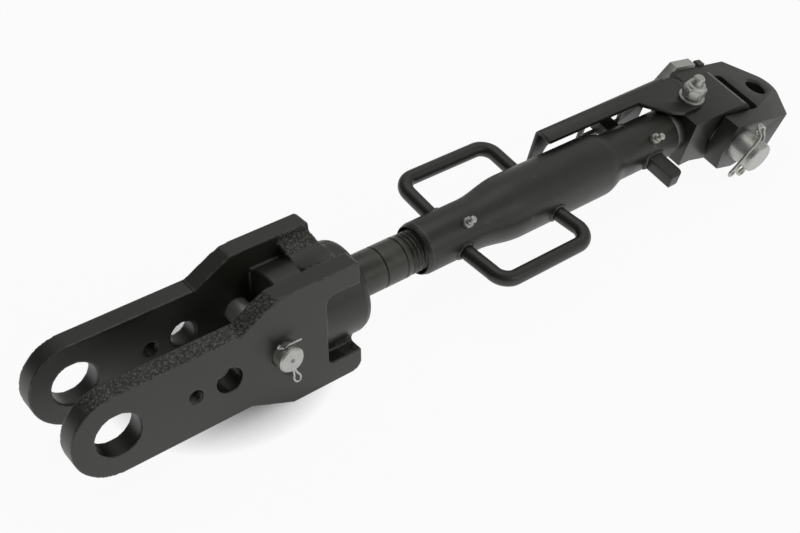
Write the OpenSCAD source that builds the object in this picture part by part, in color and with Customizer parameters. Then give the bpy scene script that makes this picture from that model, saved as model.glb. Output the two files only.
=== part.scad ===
// Adjustable lift arm of a tractor's rear linkage, in millimetres.
// The origin is the centre of the fork's big bore. +X runs along the arm to the upper joint,
// Y runs along the fork's bore and +Z is up.

/* [Fork] */
// Width over the two ears
fork_w = 86; // [80:1:96]
// Thickness of each ear
ear_t = 18; // [15:0.5:20]
// Radius of the ears' round end, and half their height there
ear_r = 36.5; // [32:0.5:40]
// Big bore that takes the lower link pin
fork_bore_d = 37; // [30:0.5:42]
// Distance from the big bore to the small threaded hole
thread_hole_x = 63; // [58:1:66]
// Thread size of the small hole
thread_hole_d = 12; // [8:1:14]
// Distance from the big bore to the float hole
float_hole_x = 92; // [88:1:96]
// Float hole, the free one of the two that take the float pin
float_hole_d = 22.4; // [18:0.2:24]
// Distance from the big bore to the hole that the float pin is in
float_pin_x = 141; // [132:1:148]
// Where the ears begin to rise towards the boss
slope_x = 108; // [104:1:112]
// Length of the rise
slope_len = 38; // [30:1:44]
// Half height of the ears beside the boss
shoulder_h = 54; // [50:1:60]
// Distance from the big bore to the ears' far end
fork_len = 214; // [210:1:222]
// Distance from the big bore to the bottom of the fork's throat
throat_x = 183; // [176:1:188]
// Radius of the round boss that holds the screw
boss_r = 40.5; // [38:0.5:42]
// Distance from the big bore to the boss's inner end, between the ears
boss_in_x = 155; // [154:1:170]
// How far the boss stands past the ears' end
boss_out = 16; // [12:1:22]
// Depth of the pockets in the ears' outer faces beside the boss
pocket_t = 13; // [8:0.5:14]

/* [Screw] */
// Diameter of the plain shank and of the thread over its crests
screw_d = 38; // [34:0.5:40]
// Free length of screw between the boss and the tube's mouth
screw_gap = 73.5; // [68:0.5:78]
// Length of screw inside the tube at rest
screw_in = 144; // [130:1:150]
// Screw pitch, the travel of one turn
screw_pitch = 4; // [2:0.5:6]

/* [Tube] */
// Outer diameter of the tube's two drawn ends
tube_end_d = 48; // [46:0.5:52]
// Outer diameter of the tube's middle
tube_mid_d = 60.4; // [58:0.2:64]
// Length of the drawn lower end, which holds the thread
tube_lower_len = 58; // [50:1:64]
// Length of the swaged slope from the lower end to the middle
tube_flare_len = 50; // [40:1:56]
// Length of the middle at full diameter
tube_mid_len = 106; // [96:1:116]
// Length of the slope from the middle to the upper end
tube_taper_len = 28; // [22:1:36]
// Length of the drawn upper end, which holds the swivel
tube_upper_len = 72.5; // [66:0.5:80]
// Wall of the tube's middle
tube_wall = 8; // [6:0.5:9]

/* [Handles] */
// Diameter of the handle rod
handle_d = 14; // [12:0.5:16]
// Distance between the two legs of a handle, centre to centre
handle_w = 105; // [96:1:112]
// Distance from the tube's axis to the middle of the grip
handle_reach = 66.5; // [62:0.5:76]
// Distance from the tube's mouth to the lower leg
handle_x = 38.5; // [32:0.5:44]
// Centre line radius of the bends
handle_bend = 15; // [12:1:20]

/* [Lock] */
// Width of a lock lug along the tube
lug_w = 17; // [14:0.5:19]
// Thickness of a lock lug
lug_t = 13; // [10:0.5:14]
// Distance from the tube's axis to a lug's tip
lug_reach = 55; // [50:1:58]
// Distance from the tube's upper end to the middle of the near lug
lug_x = 36.5; // [34:0.5:42]
// How much further from the end the far lug sits
lug_step = 9.5; // [0:0.5:10]
// Sheet thickness of the latch
latch_t = 4.5; // [3:0.5:5]
// Width of the latch's long arm
latch_w = 20; // [17:0.5:22]
// Length of the latch's long arm from the stud
latch_len = 172.5; // [160:0.5:180]
// Stud that the latch turns on
stud_d = 12; // [10:1:14]

/* [Swivel and yoke] */
// Width of the knuckle block
block_w = 53; // [50:1:58]
// Height of the knuckle block
block_h = 54; // [52:1:58]
// Shank of the knuckle, which turns in the tube
shank_d = 30; // [26:0.5:32]
// Distance from the tube's upper end to the block
neck_len = 10.5; // [8:0.5:14]
// Distance from the block's tube side to the cross pin
block_len = 59.5; // [56:0.5:64]
// How far the cross pin lies below the arm's axis
pin_drop = 5; // [0:0.5:6]
// Diameter of the cross pin
pin_d = 32; // [28:0.5:34]
// Thickness of the washer on each side of the block
side_washer_t = 1.2; // [1:0.1:3]
// Thickness of each yoke arm
yoke_t = 18.5; // [16:0.5:20]
// Height of the yoke's flat top over the cross pin
yoke_rise = 23.7; // [22:0.1:26]
// Depth of the yoke's arms below the cross pin
yoke_depth = 33.5; // [30:0.5:36]
// Depth of the yoke's nose below the cross pin
nose_depth = 13; // [10:0.5:18]
// Distance from the cross pin to where the yoke begins to narrow
yoke_corner_u = 68; // [60:1:70]
// Distance from the cross pin to the yoke's vertical hole
yoke_hole_u = 72; // [70:1:76]
// Diameter of the yoke's vertical hole
yoke_hole_d = 22; // [16:0.5:26]
// Wall round the yoke's vertical hole
nose_wall = 15; // [12:0.5:18]
// Angle between the fork and the upper end, about the arm's axis
roll = 14.5; // [0:0.5:30]
// Angle at which the yoke hangs down
yoke_pitch = 12; // [0:1:20]

/* [Hidden] */
$fn = 96;
e = 0.5;          // overshoot of cuts
run_gap = 0.05;   // radial clearance of a running fit
face_gap = 0.1;   // clearance of faces that slide on each other

black = [0.10, 0.10, 0.10];
dull_black = [0.17, 0.17, 0.16];
zinc = [0.75, 0.75, 0.73];
steel = [0.55, 0.55, 0.56];
bronze = [0.70, 0.52, 0.28];

ear_in = fork_w/2 - ear_t;
boss_x = fork_len + boss_out;
mouth_x = boss_x + screw_gap;
flare_x = mouth_x + tube_lower_len;
mid_x = flare_x + tube_flare_len;
taper_x = mid_x + tube_mid_len;
upper_x = taper_x + tube_taper_len;
tube_x = upper_x + tube_upper_len;
block_x = tube_x + neck_len;
pin_x = block_x + block_len;
thread_r = screw_d/2 - 0.4;
float_pin_d = float_hole_d - 2*run_gap - 0.3;
cavity_r = tube_mid_d/2 - tube_wall;
seat_x = upper_x - 0.55*tube_taper_len;
lug_mid = tube_x - lug_x;
far_lug_mid = lug_mid - lug_step;
stud_x = block_x + 21;
stud_y = 3;
stud_depth = 18;
latch_z = block_h/2;
latch_y = 43.5;
latch_in = latch_y - latch_t;
latch_end = stud_x - latch_len;
pin_z = -pin_drop;
bush_wall = 3;
block_end_r = pin_d/2 + bush_wall + 15;
yoke_in = block_w/2 + side_washer_t + 2*face_gap;
yoke_half = yoke_in + yoke_t;
throat_u = block_end_r + 5.5;
nose_r = yoke_hole_d/2 + nose_wall;

// A solid of revolution about the X axis from an outline of [x, radius] points
module turned(outline) {
    rotate([90, 0, 90]) rotate_extrude() polygon([for (p = outline) [p[1], p[0]]]);
}

// A straight round bar along X from x0 to x1
module bar_x(x0, x1, r) {
    translate([x0, 0, 0]) rotate([0, 90, 0]) cylinder(h = x1 - x0, r = r);
}

// A round bar along Y from y0 to y1
module bar_y(y0, y1, r) {
    translate([0, y0, 0]) rotate([-90, 0, 0]) cylinder(h = y1 - y0, r = r);
}

// A flat outline in the XZ plane given thickness from y0 to y1
module plate_xz(y0, y1) {
    translate([0, y1, 0]) rotate([90, 0, 0]) linear_extrude(y1 - y0) children();
}

// The upper half of the arm lies turned about the arm's axis
module upper_frame() {
    rotate([roll, 0, 0]) children();
}

// The yoke hangs down about the cross pin
module yoke_frame() {
    upper_frame() translate([pin_x, 0, pin_z]) rotate([0, yoke_pitch, 0]) children();
}

// A smooth change of radius from r0 to r1 as [x, radius] points
function blend(x0, x1, r0, r1, n = 10) =
    [for (i = [0:n]) [x0 + (x1 - x0)*i/n, r0 + (r1 - r0)*(1 - cos(180*i/n))/2]];

// Where a line from p touches the circle of radius r about c, on side s
function tangent_at(p, c, r, s) =
    let (d = c - p, a = atan2(d[1], d[0]) + s*asin(r/norm(d)))
    p + sqrt(d*d - r*r)*[cos(a), sin(a)];

// A square corner at c that is rounded off with radius r, sx and sz pointing into the solid
module corner_off(c, sx, sz, r) {
    difference() {
        translate(c + [sx*r/2 - sx*e/2, sz*r/2 - sz*e/2]) square([r + e, r + e], center = true);
        translate(c + [sx*r, sz*r]) circle(r);
    }
}

// FORK

// Side view of one ear
module ear_outline() {
    end_r = 9;
    difference() {
        union() {
            circle(ear_r);
            polygon([[0, -ear_r], [slope_x, -ear_r], [slope_x + slope_len, -shoulder_h],
                     [fork_len, -shoulder_h], [fork_len, shoulder_h],
                     [slope_x + slope_len, shoulder_h], [slope_x, ear_r], [0, ear_r]]);
        }
        corner_off([fork_len, -shoulder_h], -1, 1, end_r);
        corner_off([fork_len, shoulder_h], -1, -1, end_r/3);
    }
}

// Outline of the pocket beside the boss, open towards the ear's end
module pocket_outline() {
    low = -0.62*shoulder_h;
    high = boss_r - 6.5;
    r = 8;
    difference() {
        translate([throat_x - 1, low]) square([fork_len - throat_x + 1 + e, high - low]);
        corner_off([throat_x - 1, low], 1, 1, r/2);
        corner_off([throat_x - 1, high], 1, -1, r);
    }
}

// The solid between the ears, hollowed above and below the boss
module throat_web() {
    saddle_r = 40;
    difference() {
        translate([throat_x, -ear_in - e, -0.85*shoulder_h])
            cube([fork_len - throat_x, 2*ear_in + 2*e, 1.7*shoulder_h]);
        for (s = [-1, 1]) translate([0, 0, s*(boss_r + 0.5 + saddle_r)])
            bar_x(throat_x - e, fork_len + e, saddle_r);
    }
}

module fork_forging() {
    color(black) difference() {
        union() {
            for (s = [-1, 1]) difference() {
                plate_xz(min(s*ear_in, s*fork_w/2), max(s*ear_in, s*fork_w/2)) ear_outline();
                plate_xz(s > 0 ? fork_w/2 - pocket_t : -fork_w/2 - e,
                         s > 0 ? fork_w/2 + e : -fork_w/2 + pocket_t) pocket_outline();
            }
            throat_web();
            turned([[boss_in_x, 0], [boss_in_x, boss_r - 1.5], [boss_in_x + 1.5, boss_r],
                    [boss_x - 7, boss_r], [boss_x - 2.5, boss_r - 1.8], [boss_x, boss_r - 6],
                    [boss_x, 0]]);
        }
        bar_y(-fork_w, fork_w, fork_bore_d/2);
        translate([thread_hole_x, 0, 0]) bar_y(-fork_w, fork_w, thread_hole_d/2);
        for (x = [float_hole_x, float_pin_x])
            translate([x, 0, 0]) bar_y(-fork_w, fork_w, float_hole_d/2);
        bar_x(boss_in_x - e, boss_x + e, thread_r);
        lock_pin_hole();
    }
}

// SCREW

lock_pin_d = 10;
lock_pin_x = (throat_x + boss_x)/2;

module lock_pin_hole() {
    translate([lock_pin_x, 0, -boss_r - shoulder_h])
        cylinder(h = boss_r + shoulder_h + screw_d/2 - 8, d = lock_pin_d);
}

module adjusting_screw() {
    groove = 1;
    plain_end = mouth_x - 3.5;
    end_x = mouth_x + screw_in;
    color(dull_black) difference() {
        turned([[boss_in_x + 2, 0], [boss_in_x + 2, thread_r - 2], [boss_in_x + 4, thread_r],
                [boss_x + 4, thread_r], [boss_x + 4, screw_d/2],
                each [for (x = [boss_x + 31, boss_x + 52.4]) each
                    [[x - 1.2, screw_d/2], [x - 0.6, screw_d/2 - groove],
                     [x + 0.6, screw_d/2 - groove], [x + 1.2, screw_d/2]]],
                [plain_end, screw_d/2], [plain_end, thread_r],
                [end_x - 3, thread_r], [end_x, thread_r - 3], [end_x, 0]]);
        lock_pin_hole();
    }
}

module screw_lock_pin() {
    color(steel) translate([lock_pin_x, 0, -boss_r + 1.5]) difference() {
        cylinder(h = boss_r - 1.5 + screw_d/2 - 8, d = lock_pin_d);
        translate([0, 0, -e]) cylinder(h = 2*boss_r, d = lock_pin_d - 4);
    }
}

// FLOAT PIN

pin_end_out = 11;
cotter_wire = 2;
cotter_turn = -15;

module float_pin() {
    cotter_y = -fork_w/2 - pin_end_out/2;
    color(zinc) translate([float_pin_x, 0, 0]) difference() {
        union() {
            bar_y(-fork_w/2 - pin_end_out + 1.5, fork_w/2, float_pin_d/2);
            translate([0, -fork_w/2 - pin_end_out, 0]) rotate([-90, 0, 0])
                cylinder(h = 1.5, r1 = float_pin_d/2 - 1.5, r2 = float_pin_d/2);
            bar_y(fork_w/2, fork_w/2 + 6, float_pin_d/2 + 5);
        }
        translate([0, cotter_y, 0]) rotate([0, cotter_turn, 0])
            translate([0, 0, -float_pin_d]) cylinder(h = 2*float_pin_d, r = cotter_wire + 0.1);
        translate([0, -fork_w/2 - pin_end_out - e, 0]) rotate([-90, 0, 0])
            cylinder(h = 2.5, r1 = 2.5, r2 = 0.5);
    }
}

// A split pin along Z in a pin of diameter d: its eye below, one leg bent flat and one cut short above
module split_pin(d, wire) {
    reach = d/2 + 1;
    eye = 1.75*wire;
    eye_wire = 0.6*wire;
    translate([0, 0, -reach]) cylinder(h = 2*reach, r = wire);
    translate([0, 0, -d/2 - eye - eye_wire - 0.3]) rotate([0, 90, 0])
        rotate_extrude() translate([eye, 0]) circle(eye_wire, $fn = 24);
    translate([0, 0, reach + 0.4]) {
        sphere(r = 0.85*wire, $fn = 24);
        for (leg = [[95, 10*wire], [-30, 4*wire]]) rotate([0, leg[0], 0])
            cylinder(h = leg[1], r1 = 0.65*wire, r2 = 0.5*wire, $fn = 24);
    }
}

module float_pin_cotter() {
    color(zinc) translate([float_pin_x, -fork_w/2 - pin_end_out/2, 0])
        rotate([0, cotter_turn, 0]) split_pin(float_pin_d, cotter_wire);
}

// TUBE

mouth_bore_r = screw_d/2 + 2.5;
mouth_depth = 9;

// Outer form of the tube, also the shape that welded pieces are cut to
module tube_form() {
    end_r = tube_end_d/2;
    mid_r = tube_mid_d/2;
    turned([[mouth_x, 0], [mouth_x, end_r - 1], [mouth_x + 1, end_r],
            each blend(flare_x, mid_x, end_r, mid_r),
            each blend(taper_x, upper_x, mid_r, end_r),
            [tube_x - 3, end_r], [tube_x, end_r - 3], [tube_x, 0]]);
}

// Hole in the wall for a grease nipple at place x and angle a from +Y
module nipple_at(x, a) {
    translate([x, 0, 0]) rotate([a - 90, 0, 0]) translate([0, 0, tube_end_d/2]) children();
}

lower_nipple_in = 44.5;
upper_nipple_in = 35;
lower_nipple_x = mouth_x + lower_nipple_in;
upper_nipple_x = tube_x - upper_nipple_in;
lower_nipple_a = 119;
upper_nipple_a = 127;
nipple_r = 3;
nipple_over = 4;
lower_hole = 8;
upper_hole = 10;

module turnbuckle_tube() {
    color(black) difference() {
        upper_frame() tube_form();
        bar_x(mouth_x - e, mouth_x + mouth_depth, mouth_bore_r);
        turned([[mouth_x, 0], [mouth_x, thread_r + run_gap], [flare_x, thread_r + run_gap],
                [mid_x, cavity_r], [seat_x, cavity_r], [seat_x, 0]]);
        bar_x(seat_x - e, tube_x + e, shank_d/2 + run_gap);
        upper_frame() {
            nipple_at(lower_nipple_x, lower_nipple_a) translate([0, 0, -lower_hole])
                cylinder(h = lower_hole + nipple_over, r = nipple_r);
            nipple_at(upper_nipple_x, upper_nipple_a) translate([0, 0, -upper_hole])
                cylinder(h = upper_hole + nipple_over, r = nipple_r);
        }
    }
}

// A grease nipple: threaded shank, hexagon, neck and ball head
module nipple(shank) {
    color(zinc) {
        translate([0, 0, -shank]) cylinder(h = shank, r = nipple_r);
        cylinder(h = 4, d = 10.5, $fn = 6);
        rotate_extrude() polygon([[0, 4], [3.4, 4], [3.4, 7.5], [2.3, 8.5], [2.3, 9.5], [3.3, 11],
                                  [3.3, 12.2], [2.2, 13.5], [0, 13.5]]);
    }
}

module lower_grease_nipple() {
    upper_frame() nipple_at(lower_nipple_x, lower_nipple_a) nipple(4.5);
}

module upper_grease_nipple() {
    upper_frame() nipple_at(upper_nipple_x, upper_nipple_a) nipple(6);
}

// HANDLES

// One bent handle on the +Y side, its legs cut to the tube
module handle() {
    r = handle_d/2;
    x0 = mouth_x + handle_x;
    x1 = x0 + handle_w;
    b = handle_bend;
    color(black) difference() {
        union() {
            for (x = [x0, x1]) translate([x, 0, 0])
                bar_y(tube_end_d/4, handle_reach - b, r);
            translate([0, handle_reach, 0]) bar_x(x0 + b, x1 - b, r);
            translate([x0 + b, handle_reach - b, 0]) rotate([0, 0, 90])
                rotate_extrude(angle = 90) translate([b, 0]) circle(r);
            translate([x1 - b, handle_reach - b, 0])
                rotate_extrude(angle = 90) translate([b, 0]) circle(r);
        }
        tube_form();
    }
}

module far_handle() {
    upper_frame() handle();
}

module near_handle() {
    upper_frame() mirror([0, 1, 0]) handle();
}

// LOCK LUGS

// One lug on the +Y side with its middle at x, cut to the tube
module lug(x) {
    tip_r = 7;
    color(black) difference() {
        translate([0, 0, -lug_t/2]) linear_extrude(lug_t) difference() {
            translate([x - lug_w/2, 0]) square([lug_w, lug_reach]);
            corner_off([x + lug_w/2, lug_reach], -1, -1, tip_r);
        }
        tube_form();
    }
}

module far_lug() {
    upper_frame() lug(far_lug_mid);
}

module near_lug() {
    upper_frame() mirror([0, 1, 0]) lug(lug_mid);
}

// SWIVEL

nut_t = 16;
washer_in_t = 3.5;
collar_len = 4.5;
nut_x = seat_x - washer_in_t - 2*face_gap - nut_t;
shank_end = nut_x - 3;
swivel_pin_r = 2.5;

// The knuckle: a shank that turns in the tube, a flat-topped block and an eye for the cross pin
module swivel_knuckle() {
    half = block_h/2;
    eye = [pin_x, pin_z];
    ramp = [block_x + 15, -half];
    color(black) upper_frame() difference() {
        union() {
            turned([[shank_end, 0], [shank_end, shank_d/2 - 2], [shank_end + 2, shank_d/2],
                    [block_x - collar_len, shank_d/2], [block_x - collar_len, shank_d/2 + 6],
                    [block_x + e, shank_d/2 + 6], [block_x + e, 0]]);
            plate_xz(-block_w/2, block_w/2) difference() {
                union() {
                    translate([block_x, -half]) square([block_len, block_h]);
                    polygon([ramp, tangent_at(ramp, eye, block_end_r, -1), eye]);
                    translate(eye) circle(block_end_r);
                }
                translate([block_x, half]) square([2*block_len, block_h]);
            }
        }
        translate([pin_x, 0, pin_z]) bar_y(-block_w, block_w, pin_d/2 + bush_wall);
        translate([stud_x, stud_y, half - stud_depth]) cylinder(h = stud_depth + e, d = stud_d);
        swivel_pin_hole();
    }
}

module swivel_pin_hole() {
    translate([nut_x + nut_t/2, 0, -cavity_r]) cylinder(h = 2*cavity_r, r = swivel_pin_r);
}

module swivel_nut() {
    nut_r = cavity_r - 1;
    color(steel) upper_frame() difference() {
        bar_x(nut_x, nut_x + nut_t, nut_r);
        bar_x(nut_x - e, nut_x + nut_t + e, shank_d/2);
        for (a = [45:90:315]) rotate([a, 0, 0])
            translate([nut_x - e, -3, nut_r - 3]) cube([nut_t + 2*e, 6, 4]);
        swivel_pin_hole();
    }
}

module swivel_nut_pin() {
    half = cavity_r - 2;
    color(steel) upper_frame() translate([nut_x + nut_t/2, 0, -half])
        cylinder(h = 2*half, r = swivel_pin_r);
}

module inner_thrust_washer() {
    color(bronze) difference() {
        bar_x(seat_x - face_gap - washer_in_t, seat_x - face_gap, cavity_r - 0.5);
        bar_x(seat_x - washer_in_t - e, seat_x + e, shank_d/2 + run_gap);
    }
}

module outer_thrust_washer() {
    color(bronze) difference() {
        bar_x(tube_x + face_gap, block_x - collar_len - face_gap, tube_end_d/2 - 3);
        bar_x(tube_x - e, block_x, shank_d/2 + run_gap);
    }
}

module knuckle_bush() {
    color(bronze) upper_frame() translate([pin_x, 0, pin_z]) difference() {
        bar_y(-block_w/2, block_w/2, pin_d/2 + bush_wall);
        bar_y(-block_w, block_w, pin_d/2 + run_gap);
    }
}

module knuckle_washers() {
    color(steel) upper_frame() translate([pin_x, 0, pin_z]) for (s = [-1, 1]) difference() {
        translate([0, s*(block_w/2 + face_gap + side_washer_t/2), 0])
            bar_y(-side_washer_t/2, side_washer_t/2, pin_d/2 + 6);
        bar_y(-yoke_half, yoke_half, pin_d/2 + run_gap);
    }
}

// LATCH

bend_r = 3 + latch_t;
window_z = lug_t/2 + 1.7;

// Top view of the latch: the long arm, and the pad that the stud goes through
module latch_plan() {
    pad_r = stud_d/2 + 7.4;
    pad_y = stud_y - pad_r;
    near_y = latch_y - latch_w;
    far_y = latch_y - bend_r;
    neck_x = stud_x - 55.5;
    difference() {
        union() {
            polygon([[latch_end, near_y], [neck_x, near_y - 0.7], [neck_x + 8, near_y - 11],
                     [neck_x + 23, pad_y + 7.4], [neck_x + 34, pad_y], [stud_x, pad_y],
                     [stud_x + pad_r, stud_y], [stud_x + 8, far_y - 8], [stud_x + 1, far_y],
                     [latch_end, far_y]]);
            translate([stud_x, stud_y]) circle(pad_r);
        }
        translate([stud_x, stud_y]) circle(stud_d/2 + run_gap);
    }
}

// Side view of the latch's hanging flange, with the window that holds the far lug
module latch_side() {
    top = latch_z + latch_t - bend_r;
    edge = 6.5;
    bar = -window_z - 5.8;
    deep = -22;
    lip = 15;
    post = 4;
    window_x0 = far_lug_mid - lug_w/2 - 16.5;
    window_x1 = lug_mid + lug_w/2 + 9;
    difference() {
        polygon([[latch_end, bar], [latch_end + lip, bar], [latch_end + lip + 1, edge - 8],
                 [latch_end + lip + 3.5, edge - 2.5], [latch_end + lip + 8, edge],
                 [window_x0 - post, edge], [window_x0 - post, bar], [window_x1, bar],
                 [window_x1, deep], [stud_x - 18, deep], [stud_x - 15, 10],
                 [stud_x - 6, top], [latch_end, top]]);
        translate([window_x0, -window_z]) square([window_x1 - window_x0, 2*window_z]);
    }
}

module lock_latch() {
    color(black) upper_frame() {
        translate([0, 0, latch_z]) linear_extrude(latch_t) latch_plan();
        plate_xz(latch_in, latch_y) latch_side();
        translate([latch_end, latch_y - bend_r, latch_z + latch_t - bend_r])
            rotate([90, 0, 90]) linear_extrude(stud_x - 6 - latch_end) intersection() {
                difference() {
                    circle(bend_r);
                    circle(bend_r - latch_t);
                }
                square(bend_r + e);
            }
    }
}

latch_washer_t = 2.5;

module latch_stud() {
    tip = 1.5;
    above = 28;
    color(zinc) upper_frame() translate([stud_x, stud_y, block_h/2 - stud_depth]) {
        cylinder(h = stud_depth + above - tip, d = stud_d);
        translate([0, 0, stud_depth + above - tip]) cylinder(h = tip, d1 = stud_d, d2 = stud_d - 3);
    }
}

module latch_washer() {
    color(zinc) upper_frame() translate([stud_x, stud_y, latch_z + latch_t + face_gap]) difference() {
        cylinder(h = latch_washer_t, d = stud_d + 13.6);
        translate([0, 0, -e]) cylinder(h = latch_washer_t + 2*e, d = stud_d);
    }
}

// A lock nut: a hexagon with turned corners under a tapered collar
module latch_nut() {
    across = 1.6*stud_d;
    tall = 8;
    collar = 3.5;
    color(zinc) upper_frame()
        translate([stud_x, stud_y, latch_z + latch_t + face_gap + latch_washer_t]) difference() {
            union() {
                intersection() {
                    rotate([0, 0, 20]) cylinder(h = tall, d = across/cos(30), $fn = 6);
                    rotate_extrude() polygon([[0, 0], [across/2 - 0.3, 0], [across/2 + 1.4, 1.4],
                                              [across/2 + 1.4, tall - 1.4], [across/2 - 0.3, tall],
                                              [0, tall]]);
                }
                translate([0, 0, tall]) cylinder(h = collar, d1 = across - 1.5, d2 = across - 4);
            }
            translate([0, 0, -e]) cylinder(h = tall + collar + 2*e, d = stud_d);
        }
}

// YOKE

yoke_back = pin_d/2 + 6.5;

// Side view of a yoke arm, the pin at the origin and the nose along +X
module yoke_side() {
    tip_u = yoke_hole_u + nose_r + e;
    polygon([[-yoke_back, yoke_rise], [-yoke_back, -10], [8.5 - yoke_back, 2.5 - yoke_depth],
             [13.5, -yoke_depth], [yoke_corner_u, -nose_depth - 3], [tip_u, -nose_depth],
             [tip_u, yoke_rise]]);
}

// Top view of the yoke, a U with a blunt nose round its vertical hole
module yoke_plan() {
    corner = [yoke_corner_u, yoke_half];
    touch = tangent_at(corner, [yoke_hole_u, 0], nose_r, 1);
    side = [[-yoke_back - e, yoke_half], corner, touch];
    difference() {
        union() {
            polygon([each side, each [for (i = [2:-1:0]) [side[i][0], -side[i][1]]]]);
            translate([yoke_hole_u, 0]) circle(nose_r);
        }
        difference() {
            translate([-yoke_back - 2*e, -yoke_in]) square([yoke_back + 2*e + throat_u, 2*yoke_in]);
            for (s = [-1, 1]) corner_off([throat_u, s*yoke_in], -1, -s, 5);
        }
    }
}

module upper_yoke() {
    mouth = 2;
    tall = yoke_depth + yoke_rise;
    color(black) yoke_frame() difference() {
        union() {
            intersection() {
                translate([0, 0, -yoke_depth - e]) linear_extrude(tall + 2*e) yoke_plan();
                plate_xz(-yoke_half - e, yoke_half + e) yoke_side();
            }
            head_stop();
        }
        bar_y(-yoke_half - e, yoke_half + e, pin_d/2);
        translate([yoke_hole_u, 0, -yoke_depth]) cylinder(h = tall + e, d = yoke_hole_d);
        translate([yoke_hole_u, 0, yoke_rise - mouth])
            cylinder(h = mouth + e, d1 = yoke_hole_d, d2 = yoke_hole_d + 2*(mouth + e));
    }
}

upper_pin_out = 27.5;
head_af = pin_d + 23;
clip_wire = 1.6;
clip_y = -yoke_half - upper_pin_out + 11;
clip_lead = 4.5;
clip_turn = 38 - yoke_pitch;

// Block on the far arm's outer face that keeps the pin's head from turning
module head_stop() {
    stop_z = 14.5;
    stop_u = (head_af/2 + 0.5 - stop_z*sin(30))/cos(30);
    translate([stop_u, yoke_half - e, stop_z]) cube([10, 7.5 + e, yoke_rise + 2 - stop_z]);
}

module upper_pin() {
    full = 2*yoke_half + upper_pin_out;
    head_t = 10.5;
    rim_r = 3;
    color(zinc) yoke_frame() difference() {
        translate([0, yoke_half - full, 0]) rotate([-90, 0, 0]) {
            rotate_extrude() difference() {
                square([pin_d/2, full]);
                corner_off([pin_d/2, 0], -1, 1, rim_r);
            }
            translate([0, 0, full]) cylinder(h = head_t, d = head_af/cos(30), $fn = 6);
        }
        translate([0, clip_y, 0]) rotate([0, clip_turn, 0])
            translate([0, 0, -pin_d]) cylinder(h = 2*pin_d, r = clip_wire + 0.2);
    }
}

// A straight wire from a to b
module wire_rod(a, b) {
    v = b - a;
    translate(a) rotate([0, acos(v[2]/norm(v)), atan2(v[1], v[0])])
        cylinder(h = norm(v), r = clip_wire, $fn = 32);
}

// Turns of wire about the point c, of radius r, that lead towards +Y by the given length
module wire_turns(c, r, lead) {
    half = clip_wire + 0.1;
    translate(c - [0, half, 0]) rotate([-90, 0, 0]) difference() {
        cylinder(h = lead + 2*half, r = r + half);
        translate([0, 0, -e]) cylinder(h = lead + 2*half + 2*e, r = r - half);
    }
}

// A spring clip: a leg through the pin, a leg over its side, a coil above and curled ends below
module upper_pin_clip() {
    over = pin_d/2 + clip_wire + 0.1;
    leg = pin_d/2 + 2.6;
    coil_r = 5;
    coil_z = leg + 5;
    curl_r = 2.8;
    shoulder = [-over, -clip_lead, leg];
    slope = [over - 2*coil_r, 0, coil_z - leg];
    color(zinc) yoke_frame() translate([0, clip_y, 0]) rotate([0, clip_turn, 0]) {
        wire_rod([0, 0, -leg - 4], [0, 0, coil_z]);
        wire_rod([-over, -clip_lead, -leg - 3], shoulder - [0, 0, 1.2]);
        translate(shoulder) sphere(1.35*clip_wire, $fn = 32);
        wire_rod(shoulder + 0.12*slope, shoulder + slope);
        wire_turns([-curl_r, 0, -leg - 4], curl_r, 0);
        wire_turns([-over - 0.6, -clip_lead, -leg - 6], curl_r, 0);
        wire_turns([-coil_r, -clip_lead, coil_z], coil_r, clip_lead);
    }
}

fork_forging();
adjusting_screw();
screw_lock_pin();
float_pin();
float_pin_cotter();
turnbuckle_tube();
near_handle();
far_handle();
near_lug();
far_lug();
lower_grease_nipple();
upper_grease_nipple();
swivel_knuckle();
swivel_nut();
swivel_nut_pin();
inner_thrust_washer();
outer_thrust_washer();
knuckle_bush();
knuckle_washers();
lock_latch();
latch_stud();
latch_washer();
latch_nut();
upper_yoke();
upper_pin();
upper_pin_clip();
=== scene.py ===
import math

import bmesh
import bpy
import numpy as np
from mathutils import Matrix, Vector, noise


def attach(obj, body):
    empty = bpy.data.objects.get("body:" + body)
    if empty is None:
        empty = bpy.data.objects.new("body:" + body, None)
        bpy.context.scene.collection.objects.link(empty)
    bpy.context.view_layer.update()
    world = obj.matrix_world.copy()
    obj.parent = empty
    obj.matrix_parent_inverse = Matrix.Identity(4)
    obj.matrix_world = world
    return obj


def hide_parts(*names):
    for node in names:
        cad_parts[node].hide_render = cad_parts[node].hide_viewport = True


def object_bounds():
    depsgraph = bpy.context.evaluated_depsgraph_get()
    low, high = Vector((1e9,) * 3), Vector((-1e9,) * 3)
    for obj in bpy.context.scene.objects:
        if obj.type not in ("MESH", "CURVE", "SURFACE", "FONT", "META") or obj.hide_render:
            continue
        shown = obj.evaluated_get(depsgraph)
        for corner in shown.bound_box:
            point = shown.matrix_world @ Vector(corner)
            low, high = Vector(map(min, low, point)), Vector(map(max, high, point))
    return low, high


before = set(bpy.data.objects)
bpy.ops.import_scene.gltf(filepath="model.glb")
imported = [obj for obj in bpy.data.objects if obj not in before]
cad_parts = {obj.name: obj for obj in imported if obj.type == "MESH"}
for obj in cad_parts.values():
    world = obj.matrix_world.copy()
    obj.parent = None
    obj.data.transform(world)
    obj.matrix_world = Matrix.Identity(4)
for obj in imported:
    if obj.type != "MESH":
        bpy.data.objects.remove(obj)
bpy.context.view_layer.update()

MM = 0.001

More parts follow.
